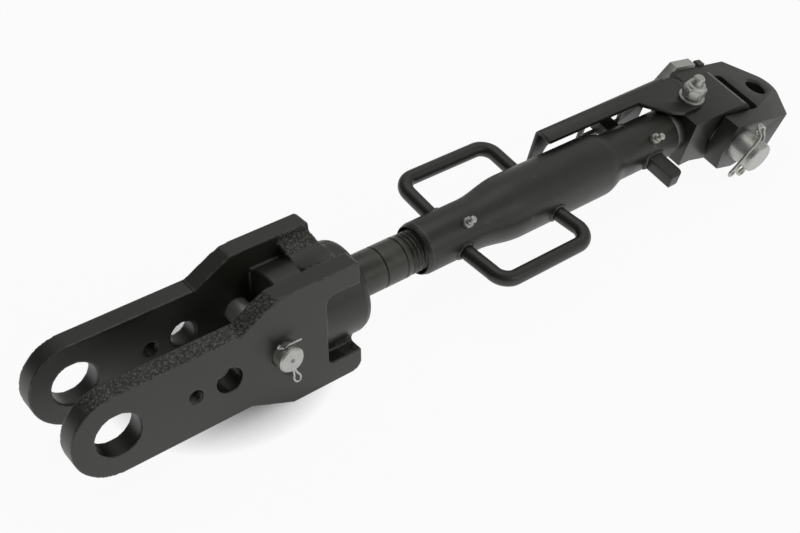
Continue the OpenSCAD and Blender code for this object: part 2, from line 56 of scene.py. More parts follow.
# CAMERA
# It stands above and beside the fork's open end, as the photographer did, and looks along the arm.
# Its place and angle were fitted to the bores and ends of the real arm.
camera = bpy.data.objects.new("camera", bpy.data.cameras.new("camera"))
camera.data.sensor_width = 36
camera.data.lens = 53.56
camera_turn, camera_height, camera_roll = -38.661, 37.170, 0.2595
aim = (Matrix.Rotation(math.radians(camera_turn), 4, "Z")
       @ Matrix.Rotation(math.radians(90 - camera_height), 4, "X")
       @ Matrix.Rotation(math.radians(camera_roll), 4, "Z"))
camera_place = (-0.21892, -0.63359, 0.60448)
camera.matrix_world = Matrix.Translation(camera_place) @ aim
bpy.context.collection.objects.link(camera)
bpy.context.scene.camera = camera
bpy.context.scene.view_settings.view_transform = "Standard"


# FLOOR AND LIGHT
# A white studio table with soft light from a large box overhead and a smaller one beside the arm.
# The floor and the room look white to the camera, and a soft shadow stays under the fork alone.
class Wire:
    """An output of a node in one material. Sums and products of wires add Math nodes."""

    def __init__(self, tree, socket=None):
        self.tree, self.socket = tree, socket

    def add(self, kind, settings=(), links=(), out=0):
        node = self.tree.nodes.new("ShaderNode" + kind)
        for name, value in dict(settings).items():
            setattr(node, name, value)
        for name, value in dict(links).items():
            if isinstance(value, Wire):
                self.tree.links.new(value.socket, node.inputs[name])
            else:
                node.inputs[name].default_value = value
        return Wire(self.tree, node.outputs[out])

    def math(self, operation, first, second):
        return self.add("Math", {"operation": operation}, {0: first, 1: second})

    def __add__(self, other):
        return self.math("ADD", self, other)

    def __mul__(self, other):
        return self.math("MULTIPLY", self, other)

    def __sub__(self, other):
        return self.math("SUBTRACT", self, other)

    def __rsub__(self, other):
        return self.math("SUBTRACT", other, self)

    __radd__, __rmul__ = __add__, __mul__

    def mix(self, dark, light):
        """The colour dark where this wire is 0 and light where it is 1."""
        return self.add("Mix", {"data_type": "RGBA"}, {0: self, 6: dark, 7: light}, out=2)

    def ramp(self, low, high):
        """0 below low and 1 above high."""
        return self.add("MapRange", {}, {"Value": self, "From Min": low, "From Max": high})


def finish(name, recipe):
    """A material whose Principled BSDF takes the values and wires that recipe gives."""
    material = bpy.data.materials.new(name)
    material.use_nodes = True
    tree = material.node_tree
    shader = tree.nodes["Principled BSDF"]
    for socket, value in recipe(Wire(tree)).items():
        if isinstance(value, Wire):
            tree.links.new(value.socket, shader.inputs[socket])
        else:
            shader.inputs[socket].default_value = value
    return material


floor_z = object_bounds()[0][2] - 0.0002
bpy.ops.mesh.primitive_plane_add(size=40, location=(0.3, 0, floor_z))
floor = bpy.context.object
floor.name = "floor"
floor_paint = bpy.data.materials.new("white_table")
floor_paint.use_nodes = True
w = Wire(floor_paint.node_tree)
floor_paint.node_tree.nodes.remove(floor_paint.node_tree.nodes["Principled BSDF"])
shadow_spot, shadow_core, shadow_edge, glow_share = (-0.18, 0.03, 0), 0.05, 0.1, 0.94
seen = w.add("LightPath", out="Is Camera Ray")
mirrored = w.add("LightPath", out="Is Glossy Ray")
distance = w.add("VectorMath", {"operation": "DISTANCE"},
                 {0: w.add("TexCoord", out="Object"), 1: shadow_spot}, out="Value")
shown = w.math("MAXIMUM", seen, mirrored) * distance.ramp(shadow_core, shadow_edge) * glow_share
matt = w.add("BsdfDiffuse", {}, {"Color": (0.86, 0.86, 0.86, 1)})
glow = w.add("Emission", {}, {"Color": (1, 1, 1, 1), "Strength": 1.0})
surface = w.add("MixShader", {}, {0: shown, 1: matt, 2: glow})
floor_paint.node_tree.links.new(surface.socket, floor_paint.node_tree.nodes["Material Output"].inputs[0])
floor.data.materials.append(floor_paint)

world = bpy.data.worlds.new("studio")
bpy.context.scene.world = world
world.use_nodes = True
w = Wire(world.node_tree)
along = w.add("SeparateXYZ", {}, {"Vector": w.add("TexCoord", out="Generated")}, out="X")
room_low, room_span = 0.12, 0.36
strength = w.math("MAXIMUM", along.ramp(-0.5, 0.5) * room_span + room_low,
                  w.add("LightPath", out="Is Camera Ray"))
world.node_tree.links.new(strength.socket, world.node_tree.nodes["Background"].inputs["Strength"])
world.node_tree.nodes["Background"].inputs["Color"].default_value = (1, 1, 0.98, 1)


def softbox(name, place, target, size, power):
    """A square lamp at place that faces target."""
    lamp = bpy.data.lights.new(name, "AREA")
    lamp.size = size
    lamp.energy = power
    box = bpy.data.objects.new(name, lamp)
    box.location = place
    box.rotation_euler = (Vector(target) - Vector(place)).to_track_quat("-Z", "Y").to_euler()
    bpy.context.collection.objects.link(box)


softbox("overhead", (0.6, 0.3, 1.9), (0.35, 0, 0), 1.4, 5)
softbox("beside", (0.9, -1.7, 0.9), (0.4, 0, 0), 0.9, 3)


# FORK
# The lower end is one steel forging with flame-cut ear edges, drilled and tapped, then sprayed with
# black satin paint. Its edges are broken by the tumbling and the paint, and the cut faces stay rough.
def black_paint(w, rough=0.38, shade=0.012):
    """Satin paint on steel: faint clouds, fine dust and orange peel."""
    where = w.add("TexCoord", out="Object")
    clouds = w.add("TexNoise", {}, {"Vector": where, "Scale": 22, "Detail": 5, "Roughness": 0.6})
    dust = w.add("TexNoise", {}, {"Vector": where, "Scale": 900, "Detail": 2}).ramp(0.66, 0.78)
    patch = w.add("TexNoise", {}, {"Vector": where, "Scale": 60, "Detail": 3}).ramp(0.48, 0.75)
    specks = dust * patch
    dust_grey = (0.16, 0.155, 0.145, 1)
    base = clouds.ramp(0.3, 0.7).mix((shade, shade, shade * 0.75, 1),
                                     (shade * 1.9, shade * 1.9, shade * 1.4, 1))
    peel = w.add("TexNoise", {}, {"Vector": where, "Scale": 420, "Detail": 2})
    coarse = w.add("TexNoise", {}, {"Vector": where, "Scale": 95, "Detail": 4})
    height = peel * 0.25 + coarse * 0.6
    bump = w.add("Bump", {}, {"Strength": 0.22, "Distance": 0.0005, "Height": height})
    return {"Base Color": (specks * 0.7).mix(base, dust_grey),
            "Roughness": clouds * 0.22 + (rough - 0.08) + specks * 0.25,
            "Specular IOR Level": 0.68, "Normal": bump}


paint = finish("black_paint", black_paint)


def settle(obj):
    """The object's mesh with its modifiers applied."""
    graph = bpy.context.evaluated_depsgraph_get()
    mesh = bpy.data.meshes.new_from_object(obj.evaluated_get(graph))
    obj.modifiers.clear()
    old, obj.data = obj.data, mesh
    bpy.data.meshes.remove(old)
    return obj


def cad_copy(node, name):
    """A copy of a CAD node's solid with flat faces whole again."""
    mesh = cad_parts[node].data.copy()
    mesh.name = name
    mesh.materials.clear()
    solid = bmesh.new()
    solid.from_mesh(mesh)
    bmesh.ops.remove_doubles(solid, verts=solid.verts, dist=2e-6)
    bmesh.ops.dissolve_limit(solid, angle_limit=math.radians(0.6), verts=solid.verts, edges=solid.edges)
    solid.to_mesh(mesh)
    solid.free()
    piece = bpy.data.objects.new(name, mesh)
    bpy.context.collection.objects.link(piece)
    return piece


def broken_edges(node, name, width, steps):
    """The CAD node's solid with its sharp edges broken over width mm."""
    sharp, creased = 28, 42
    piece = cad_copy(node, name)
    bevel = piece.modifiers.new("bevel", "BEVEL")
    bevel.width = width * MM
    bevel.segments = steps
    bevel.limit_method = "ANGLE"
    bevel.angle_limit = math.radians(sharp)
    bevel.harden_normals = True
    piece.data.shade_smooth()
    settle(piece)
    piece.data.set_sharp_from_angle(angle=math.radians(creased))
    return piece


def fit(piece, material, body, slot, *nodes):
    """Gives the piece its finish and body, and hides the CAD nodes that it stands for. slot is not used."""
    piece.data.materials.clear()
    piece.data.materials.append(material)
    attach(piece, body)
    if nodes:
        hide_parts(*nodes)
    return piece


def cast_skin(node, name, grain, passes, soften):
    """The CAD node's solid as a forging: fine even faces, rounded edges, softer where soften says."""
    piece = cad_copy(node, name)
    skin = piece.modifiers.new("skin", "REMESH")
    skin.mode = "VOXEL"
    skin.voxel_size = grain * MM
    settle(piece)
    group = piece.vertex_groups.new(name="soft")
    group.add([v.index for v in piece.data.vertices if soften(v.co / MM)], 1.0, "REPLACE")
    for weight, rounds in (("", passes), ("soft", passes * 8)):
        rub = piece.modifiers.new("rub", "SMOOTH")
        rub.factor = 0.5
        rub.iterations = rounds
        rub.vertex_group = weight
    settle(piece)
    piece.vertex_groups.clear()
    piece.data.shade_smooth()
    return piece


ear_inner, ear_outer, arm_h, shoulder_h = 25, 43, 31, 54
slope_start, slope_end, slope_top_x, lean_end, lean_fade = 106, 137, 146, 178, 32
throat_x, web_x, fillet_x, pocket_x, boss_end = 150, 182, 186, 197, 228
near_lean, far_lean, corner_r, collar_r = 9, 7, 7, 27


def inside_throat(p):
    """At the slopes' top corners and round the boss between the ears, where the forging is filleted."""
    if math.hypot(p.x - slope_top_x, p.z - shoulder_h) < corner_r:
        return True
    return fillet_x < p.x < boss_end and abs(p.y) < ear_inner + 1.5 and math.hypot(p.y, p.z) > collar_r


def mark(mesh, name, values):
    """Keeps a number for each vertex under a name that the finish reads."""
    mesh.attributes.new(name, "FLOAT", "POINT").data.foreach_set("value", values)


def standing_out(mesh):
    """For each vertex of an even mesh, 0 on flats and 1 on a convex corner, which the finish paints pale,
    partly as rubbed paint and partly as a painted highlight.
    """
    count = len(mesh.vertices)
    place, normal = np.empty(count * 3), np.empty(count * 3)
    mesh.vertices.foreach_get("co", place)
    mesh.vertex_normals.foreach_get("vector", normal)
    place, normal = place.reshape(-1, 3), normal.reshape(-1, 3)
    ends = np.empty(len(mesh.edges) * 2, dtype=int)
    mesh.edges.foreach_get("vertices", ends)
    a, b = ends.reshape(-1, 2).T
    step = place[b] - place[a]
    step /= np.linalg.norm(step, axis=1, keepdims=True)
    out = (np.bincount(a, -(step * normal[a]).sum(1), count)
           + np.bincount(b, (step * normal[b]).sum(1), count))
    near = np.bincount(a, minlength=count) + np.bincount(b, minlength=count)
    out /= near
    for _ in range(2):
        out = (out + (np.bincount(a, out[b], count) + np.bincount(b, out[a], count)) / near) / 2
    flat, span = 0.05, 0.18
    return np.clip((out - flat) / span, 0, 1)


def flame_cut(p, up):
    """How rough the forging is at p, from 0 to 1: the near ear's cut top, the web's flanks, the pocket."""
    if p.x > web_x + 1 and 11 < abs(p.y) < ear_inner + 1 and abs(p.z) > 38:
        return 1
    if p.x > pocket_x and 20 < abs(p.y) < ear_outer - 1.5 and -shoulder_h + 4 < p.z < -28:
        return 0.7
    if up < 0.5 or not ear_inner + 1 < -p.y < ear_outer + 1 or p.z < 20:
        return 0
    cut_start, start_fade, end_fade = -22, 8, 6
    return (min(1, max(0, (p.x - cut_start) / start_fade))
            * min(1, max(0, (slope_end + 3 - p.x) / end_fade)))


fork = cast_skin("fork_forging", "fork", 1.1, 2, inside_throat)
cuts = []
ups = [v.normal.z for v in fork.data.vertices]
for v, up in zip(fork.data.vertices, ups):
    p = v.co / MM
    if abs(p.y) > ear_inner - 1 and p.z > arm_h and slope_start < p.x < lean_end:
        lean = near_lean if p.y < 0 else far_lean
        lean = lean * (p.z - arm_h) / (shoulder_h - arm_h) * min(1, (lean_end - p.x) / lean_fade)
        p.x -= lean
        v.co.x -= lean * MM
    cut = flame_cut(p, up)
    cuts.append(cut)
    if cut:
        lump = noise.fractal(p * 0.45, 1.0, 2.0, 4)
        v.co.z += (0.7 * lump - 0.2) * MM * cut * (1 if p.x > slope_start else 0.6)
mark(fork.data, "cut", cuts)
# Convex corners are painted pale, partly as rubbed paint and partly as a painted highlight, except in the
# throat.
in_throat = [throat_x < v.co.x / MM < web_x + 4 and abs(v.co.y) < (ear_inner + 1) * MM
             for v in fork.data.vertices]
mark(fork.data, "rubbed_and_highlit", standing_out(fork.data) * (1 - np.array(in_throat)))


def forged_paint(w):
    """Black paint on the forging, with mottled flame-cut edges, and corners painted pale: partly rubbed paint,
    partly a painted highlight.
    """
    recipe = black_paint(w)
    where = w.add("TexCoord", out="Object")
    cut = w.add("Attribute", {"attribute_name": "cut"}, out="Fac")
    rubbed_and_highlit = w.add("Attribute", {"attribute_name": "rubbed_and_highlit"}, out="Fac")
    grains = w.add("TexNoise", {}, {"Vector": where, "Scale": 560, "Detail": 3, "Roughness": 0.6})
    flecks = grains.ramp(0.48, 0.66) * cut
    pits = (1 - grains.ramp(0.36, 0.46)) * cut
    # Painted highlight and wear: the convex corners turn pale grey.
    edge_wear_and_highlight = w.add("TexNoise", {}, {"Vector": where, "Scale": 190, "Detail": 4}).ramp(0.38, 0.6) * rubbed_and_highlit
    fleck_grey, pit_black, wear_and_highlight_grey = (0.16, 0.16, 0.14, 1), (0.005, 0.005, 0.005, 1), (0.17, 0.17, 0.155, 1)
    colour = pits.mix(flecks.mix(recipe["Base Color"], fleck_grey), pit_black)
    recipe["Base Color"] = (edge_wear_and_highlight * 0.75).mix(colour, wear_and_highlight_grey)
    recipe["Roughness"] = recipe["Roughness"] + cut * 0.2
    recipe["Normal"] = w.add("Bump", {}, {"Strength": 0.5, "Distance": 0.0012, "Height": grains * cut,
                                          "Normal": recipe["Normal"]})
    return recipe


fit(fork, finish("forged_paint", forged_paint), "fork", "black_paint", "fork_forging")


# THREADED PARTS
# The adjusting screw is turned from bar: a thread in the boss, a plain shank with two ring grooves,
# and the long thread that the tube runs on. A short ring of thread shows at the boss's mouth.
def ring_mesh(name, rings, lay=Matrix(), closed_ends=True):
    """A mesh through rings of points in mm, each ring with as many points, laid by a matrix in metres."""
    count = len(rings[0])
    points = [lay @ (Vector(p) * MM) for ring in rings for p in ring]
    faces = []
    for i in range(len(rings) - 1):
        for j in range(count):
            k = (j + 1) % count
            faces.append((i * count + j, i * count + k, (i + 1) * count + k, (i + 1) * count + j))
    if closed_ends:
        faces.append(tuple(reversed(range(count))))
        faces.append(tuple(range((len(rings) - 1) * count, len(rings) * count)))
    mesh = bpy.data.meshes.new(name)
    mesh.from_pydata(points, [], faces)
    mesh.shade_smooth()
    mesh.set_sharp_from_angle(angle=math.radians(38))
    piece = bpy.data.objects.new(name, mesh)
    bpy.context.collection.objects.link(piece)
    return piece


def turned(name, outline, sides=96, thread=None, lay=Matrix(), closed_ends=True):
    """A turned part about X from [x, radius] points; thread is (x0, x1, pitch, depth)."""
    stations = []
    for (x0, r0), (x1, r1) in zip(outline, outline[1:]):
        stations.append((x0, r0))
        if thread and x0 >= thread[0] and x1 <= thread[1] and x1 > x0:
            count = max(1, round((x1 - x0) / (thread[2] / 8)))
            stations += [(x0 + (x1 - x0) * i / count, r0 + (r1 - r0) * i / count) for i in range(1, count)]
    stations.append(outline[-1])
    rings = []
    for x, r in stations:
        ring = []
        for j in range(sides):
            a = 2 * math.pi * j / sides
            cut = 0
            if thread and thread[0] <= x <= thread[1]:
                wave = (x / thread[2] - j / sides) % 1
                cut = thread[3] * min(1, max(0, 1.6 * abs(2 * wave - 1) - 0.3))
                cut *= min(1, (x - thread[0]) / thread[2], (thread[1] - x) / thread[2])
            ring.append((x, (r - cut) * math.cos(a), (r - cut) * math.sin(a)))
        rings.append(ring)
    return ring_mesh(name, rings, lay, closed_ends)


def screw_paint(w):
    """Thin black paint on turned steel, with fine rings, rubbed places and a painted highlight along one edge
    of each groove.
    """
    recipe = black_paint(w, rough=0.34, shade=0.026)
    where = w.add("TexCoord", out="Object")
    rings = w.add("TexWave", {"wave_type": "BANDS", "bands_direction": "X"},
                  {"Vector": where, "Scale": 420, "Distortion": 1.5, "Detail": 2})
    wear_and_highlight = w.add("TexNoise", {}, {"Vector": where, "Scale": 45, "Detail": 5}).ramp(0.56, 0.74)
    x = w.add("SeparateXYZ", {}, {"Vector": where}, out="X")
    # Painted highlight: a pale line along one edge of each ring groove.
    for groove_x in groove_places:
        off = w.math("ABSOLUTE", x - (groove_x - 1.2) * MM, 0)
        wear_and_highlight = w.math("MAXIMUM", wear_and_highlight, 1 - off.ramp(0.0003, 0.0009))
    recipe["Base Color"] = (wear_and_highlight * 0.5).mix(recipe["Base Color"], (0.12, 0.118, 0.095, 1))
    recipe["Normal"] = w.add("Bump", {}, {"Strength": 0.25, "Distance": 0.0002, "Height": rings,
                                          "Normal": recipe["Normal"]})
    return recipe


boss_x, mouth_x, lip_x, shank_r, crest_r, pitch = 230, 303.5, 301.5, 19, 18.7, 4
groove_places, groove_r = (boss_x + 31, boss_x + 52.4), shank_r - 1
grooves = [p for x in groove_places
           for p in ((x - 1.4, shank_r), (x - 0.7, groove_r), (x + 0.7, groove_r), (x + 1.4, shank_r))]
screw_start, screw_end, axis_r = 157, mouth_x + 144, 0.01
screw = turned("screw", [(screw_start, axis_r), (screw_start, crest_r - 2), (screw_start + 2, crest_r),
                         (boss_x + 4, crest_r), (boss_x + 5, shank_r)] + grooves
               + [(lip_x - 15, shank_r), (lip_x - 14.5, crest_r), (screw_end - 3, crest_r),
                  (screw_end, crest_r - 3), (screw_end, axis_r)],
               thread=(lip_x - 14.6, screw_end - 2, pitch, 1.9))
fit(screw, finish("screw_paint", screw_paint), "fork", "screw_black", "adjusting_screw")
stub = turned("boss_thread", [(boss_x - 2, crest_r - 1.5), (boss_x, crest_r + 0.6),
                              (boss_x + 7, crest_r + 0.6), (boss_x + 8, shank_r - 0.5)],
              thread=(boss_x - 1, boss_x + 7.5, pitch, 1.6))
fit(stub, screw.data.materials[0], "fork", "screw_black")


# TAPPED HOLES
# The small cross hole is tapped through both ears, so each ear's wall shows the thread's turns. Each
# is a lining of the hole, whose radius follows the thread.
tap_x, tap_r, tap_pitch, tap_depth = 63, 6.0, 1.75, 0.17
for side in (-1, 1):
    lay = (Matrix.Translation((tap_x * MM, 0, 0)) @ Matrix.Rotation(math.radians(90 * side), 4, "Z"))
    outline = [(ear_inner + 0.6, tap_r + 0.3), (ear_inner + 0.8, tap_r - 0.05),
               (ear_outer - 1.2, tap_r - 0.05), (ear_outer - 0.8, tap_r + 0.3)]
    tapped = turned("tapped_" + ("near" if side < 0 else "far"), outline, 40,
                    (ear_inner + 0.7, ear_outer - 0.9, tap_pitch, 0), lay, False)
    for v in tapped.data.vertices:
        local = lay.inverted() @ v.co / MM
        turn = math.atan2(local.z, local.y) / (2 * math.pi)
        wave = abs(2 * ((local.x / tap_pitch - turn) % 1) - 1)
        scale = 1 - tap_depth * wave
        v.co = lay @ (Vector((local.x, local.y * scale, local.z * scale)) * MM)
    tapped.data.flip_normals()
    fit(tapped, screw.data.materials[0], "fork", "black_paint")


# FLOAT PIN AND SPLIT PIN
# A zinc-plated pin through both ears, held by a split pin whose long leg is bent flat along the arm
# and whose eye hangs below it. A spring pin in the boss keeps the screw from turning.
def zinc_plate(w, tone=0.62, rough=0.34):
    """Zinc plating: a pale grey metal with dull clouds, faint yellow passivation and handling marks."""
    where = w.add("TexCoord", out="Object")
    clouds = w.add("TexNoise", {}, {"Vector": where, "Scale": 130, "Detail": 5, "Roughness": 0.65})
    marks = w.add("TexNoise", {}, {"Vector": where, "Scale": 700, "Detail": 3}).ramp(0.58, 0.72)
    stain = w.add("TexNoise", {}, {"Vector": where, "Scale": 60, "Detail": 3}).ramp(0.5, 0.72)
    plain = clouds.ramp(0.3, 0.7).mix((tone * 0.78, tone * 0.78, tone * 0.75, 1),
                                      (tone, tone, tone * 0.97, 1))
    yellow = (stain * 0.6).mix(plain, (tone * 0.95, tone * 0.9, tone * 0.72, 1))
    bump = w.add("Bump", {}, {"Strength": 0.3, "Distance": 0.0003, "Height": clouds * 0.7 + marks * 0.3})
    return {"Base Color": (marks * 0.35).mix(yellow, (0.3, 0.3, 0.29, 1)), "Metallic": 0.7,
            "Roughness": clouds * 0.3 + (rough - 0.1), "Normal": bump}


zinc = finish("zinc_plate", zinc_plate)
fit(broken_edges("float_pin", "float_pin_plated", 0.9, 3), zinc, "fork", "zinc_plate", "float_pin")


def smooth_path(points, steps=6):
    """Points of a smooth line through the given points."""
    points = [Vector(p) for p in points]
    ends = [2 * points[0] - points[1]] + points + [2 * points[-1] - points[-2]]
    out = []
    for a, b, c, d in zip(ends, ends[1:], ends[2:], ends[3:]):
        for i in range(steps):
            t = i / steps
            out.append(0.5 * (2 * b + (c - a) * t + (2 * a - 5 * b + 4 * c - d) * t * t
                              + (3 * b - a - 3 * c + d) * t ** 3))
    return out + [points[-1]]


def bent_wire(name, path, radius, lay=Matrix(), sides=14):
    """A round wire along the path in mm, with its ends rounded, laid by a matrix in metres."""
    path = [Vector(p) for p in path]
    rings = []
    up = (path[1] - path[0]).orthogonal().normalized()
    last = len(path) - 1
    for i, here in enumerate(path):
        along = (path[min(i + 1, last)] - path[max(i - 1, 0)]).normalized()
        up = (up - along * up.dot(along)).normalized()
        aside = along.cross(up)
        stations = [(1, 0)]
        if i == last:
            stations = [(1, 0), (0.8, 0.3), (0.35, 0.6)]
        elif i == 0:
            stations = [(0.35, -0.6), (0.8, -0.3), (1, 0)]
        for k, shift in stations:
            rings.append([here + along * (shift * radius)
                          + (up * math.cos(a) + aside * math.sin(a)) * radius * k
                          for a in [2 * math.pi * j / sides for j in range(sides)]])
    return ring_mesh(name, rings, lay)


float_x, float_y, float_r, split_r = 141, -48.5, 11, 1.0
split_turn = math.radians(-15)
split_lay = Matrix.Translation((float_x * MM, float_y * MM, 0)) @ Matrix.Rotation(split_turn, 4, "Y")
eye_half, eye_high, eye_down, leg_gap = 2.9, 4.4, 13.5, 0.8
eye = [(eye_half * math.sin(a), 0, -float_r - eye_down + eye_high * math.cos(a))
       for a in [math.radians(d) for d in range(40, 321, 20)]]
long_leg = [(14.5, -1, float_r - 1), (7, -0.6, float_r + 0.6), (2.4, -0.3, float_r + 1.4),
            (leg_gap, 0, float_r - 1.5), (leg_gap, 0, 0), (leg_gap, 0, -float_r), (1, 0, -float_r - 6)]
short_leg = [(-1, 0, -float_r - 6), (-leg_gap, 0, -float_r), (-leg_gap, 0, 0), (-leg_gap, 0, float_r - 1),
             (-1.8, 0, float_r + 1.6), (-4.0, 0, float_r + 3.6), (-5.0, -0.4, float_r + 6.0),
             (-3.4, -0.6, float_r + 7.0)]
split = long_leg + eye + short_leg
fit(bent_wire("split_pin", smooth_path(split, 4), split_r, split_lay, 10), zinc, "fork", "zinc_plate",
    "float_pin_cotter")
fit(broken_edges("screw_lock_pin", "lock_pin", 0.4, 2), zinc, "fork", "bare_steel", "screw_lock_pin")


# TUBE
# The turnbuckle is pipe, drawn down at both ends, threaded inside its lower end and painted black.
# Its lower lip is chamfered and painted pale, partly as rubbed paint and partly as a painted highlight, and
# its wall is a little uneven from the drawing.
head_turn = Matrix.Rotation(math.radians(14.5), 4, "X")


def ease(x0, x1, r0, r1, n=16):
    """[x, radius] points of a smooth change of radius."""
    return [(x0 + (x1 - x0) * i / n, r0 + (r1 - r0) * (1 - math.cos(math.pi * i / n)) / 2)
            for i in range(n + 1)]


end_r, mid_r, cavity_r, bore_r, relief_r, neck_r, uneven = 24, 30.2, 22.2, 18.65, 21.3, 15.1, 0.25
flare_x, mid_x, taper_x, upper_x, tube_x, seat_x = 361.5, 411.5, 517.5, 545.5, 618, 530.1
outside = ([(lip_x, end_r - 2), (lip_x + 0.5, end_r - 1.4), (lip_x + 4.6, end_r - 0.15), (lip_x + 5.4, end_r)]
           + ease(flare_x, mid_x, end_r, mid_r) + ease(taper_x, upper_x, mid_r, end_r)
           + [(tube_x - 3, end_r), (tube_x - 1, end_r - 1.2), (tube_x, end_r - 3)])
inside = [(tube_x, neck_r), (seat_x, neck_r), (seat_x, cavity_r), (mid_x, cavity_r), (flare_x, bore_r),
          (lip_x + 9, bore_r), (lip_x + 9, relief_r), (lip_x + 1, relief_r), (lip_x, 21.8)]
tube = turned("tube", outside + inside + [outside[0]], 128, lay=head_turn, closed_ends=False)
for v in tube.data.vertices:
    if math.hypot(v.co.y, v.co.z) > (end_r - 0.5) * MM:
        out = Vector((0, v.co.y, v.co.z)).normalized()
        v.co += out * (uneven * noise.noise(v.co * 45) * MM)


def scuffed_paint(w):
    """The tube's paint, with a pale lip, partly rubbed paint and partly a painted highlight, and a few pale
    scuffs along it.
    """
    recipe = black_paint(w)
    where = w.add("TexCoord", out="Object")
    x = w.add("SeparateXYZ", {}, {"Vector": where}, out="X")
    # Painted highlight and wear: a pale ring along the lip's chamfer.
    lip = 1 - w.math("ABSOLUTE", x - (lip_x + 5) * MM, 0).ramp(0.0003, 0.0011)
    fine = w.add("TexNoise", {}, {"Vector": where, "Scale": 260, "Detail": 3}).ramp(0.4, 0.62)
    scuffs = w.add("TexNoise", {}, {"Vector": where, "Scale": 46, "Detail": 1}).ramp(0.66, 0.71)
    wear_and_highlight = w.math("MAXIMUM", lip * 0.6, scuffs * 0.8) * fine
    recipe["Base Color"] = wear_and_highlight.mix(recipe["Base Color"], (0.13, 0.13, 0.12, 1))
    return recipe


fit(tube, finish("scuffed_paint", scuffed_paint), "tube", "black_paint", "turnbuckle_tube")


# HANDLES AND LUGS
# Two bent rods and two short bars are welded to the tube and painted with it. Each rod's long run
# stands a little off true, as bent by hand, and each foot has a rippled bead of weld.
for node, name in (("near_lug", "lug_near"), ("far_lug", "lug_far")):
    fit(broken_edges(node, name, 1.4, 3), paint, "tube", "black_paint", node)


def bead(name, path, radius, seed):
    """A weld bead along a closed path in the head's frame, in mm, its ripples about 2 mm apart."""
    count, sides = len(path), 10
    rings = []
    for i in range(count):
        here, after, before = Vector(path[i]), Vector(path[(i + 1) % count]), Vector(path[i - 1])
        along = (after - before).normalized()
        up = Vector((0, here.y, here.z)).normalized()
        aside = along.cross(up).normalized()
        up = aside.cross(along)
        ripple = 1 + 0.10 * math.sin(i * 2.1) + 0.25 * noise.noise(here * 0.4 + Vector((seed, 0, 0)))
        rings.append([here + (aside * math.cos(a) * 1.25 + up * math.sin(a)) * radius * ripple
                      for a in [2 * math.pi * j / sides for j in range(sides)]])
    rings.append(rings[0])
    return ring_mesh(name, rings, head_turn, False)


def tube_radius(x):
    """Outer radius of the tube at x."""
    last = outside[0]
    for point in outside:
        if point[0] >= x:
            share = (x - last[0]) / max(1e-6, point[0] - last[0])
            return last[1] + (point[1] - last[1]) * share
        last = point
    return end_r


def on_tube(x, z, side):
    """The point of the tube's surface at x and z, on the near or far side."""
    return (x, side * math.sqrt(tube_radius(x) ** 2 - z * z), z)


def rod_path(side, reach, lean):
    """The centre line of a handle, its long run lean mm further along the tube than its feet."""
    bend = 15
    half = []
    for x, turn in ((foot_low, 1), (foot_high, -1)):
        y0 = tube_radius(x) - 1
        leg = [(x + lean * t, y0 + (reach - bend - y0) * t) for t in (0, 0.25, 0.5, 0.75, 1)]
        arc = [(x + lean + turn * bend * (1 - math.cos(a)), reach - bend * (1 - math.sin(a)))
               for a in [math.radians(d) for d in range(10, 91, 10)]]
        half.append([(px, side * py, 0) for px, py in leg + arc])
    return half[0] + list(reversed(half[1]))


rod_r, foot_low, foot_high, weld_r = 7, 342, 447, 7.8
lug_x, lug_weld_x, lug_weld_z = {-1: 581.5, 1: 572}, 9.2, 7.2
for side, word, reach, lean in ((-1, "near", 68.5, 5), (1, "far", 71, -1)):
    fit(bent_wire("handle_" + word, rod_path(side, reach, lean), rod_r, head_turn, 28), paint, "tube",
        "black_paint", word + "_handle")
    for leg, x0 in (("lower", foot_low), ("upper", foot_high)):
        foot = [on_tube(x0 + weld_r * math.cos(a), weld_r * math.sin(a), side)
                for a in [2 * math.pi * i / 36 for i in range(36)]]
        fit(bead("weld_{}_{}".format(word, leg), foot, 1.9, x0 + side), paint, "tube", "black_paint")
    middle = lug_x[side]
    corners = [(middle + i * lug_weld_x, j * lug_weld_z) for i, j in ((-1, -1), (1, -1), (1, 1), (-1, 1))]
    foot = []
    for (xa, za), (xb, zb) in zip(corners, corners[1:] + corners[:1]):
        foot += [on_tube(xa + (xb - xa) * i / 10, za + (zb - za) * i / 10, side) for i in range(10)]
    fit(bead("weld_{}_lug".format(word), foot, 1.8, middle), paint, "tube", "black_paint")


# GREASE NIPPLES
# Zinc-plated nipples screwed into the drawn ends of the tube, one for the thread and one for the
# swivel.
for node, name in (("lower_grease_nipple", "nipple_lower"), ("upper_grease_nipple", "nipple_upper")):
    fit(broken_edges(node, name, 0.3, 2), zinc, "tube", "zinc_plate", node)


# SWIVEL
# The knuckle is a machined forging whose shank turns in the tube between two washers, held by a
# pinned nut inside. The washer that shows is dark with oil, and pale in patches, partly rubbed
# metal and partly a painted highlight.
fit(broken_edges("swivel_knuckle", "knuckle", 1.2, 3), paint, "head", "black_paint", "swivel_knuckle")


def bronze_face(w):
    """Machined bronze with a dull stain."""
    where = w.add("TexCoord", out="Object")
    stain = w.add("TexNoise", {}, {"Vector": where, "Scale": 90, "Detail": 4})
    return {"Base Color": stain.mix((0.36, 0.22, 0.09, 1), (0.55, 0.38, 0.18, 1)), "Metallic": 1.0,
            "Roughness": stain * 0.3 + 0.25}


def oiled_steel(w):
    """Dark oiled steel, pale in patches: partly rubbed metal, partly a painted highlight."""
    recipe = zinc_plate(w, 0.4, 0.4)
    where = w.add("TexCoord", out="Object")
    # Painted highlight and wear: pale patches over the dark steel.
    rub = w.add("TexNoise", {}, {"Vector": where, "Scale": 24, "Detail": 2}).ramp(0.52, 0.62)
    recipe["Base Color"] = rub.mix((0.02, 0.02, 0.018, 1), (0.42, 0.42, 0.38, 1))
    return recipe


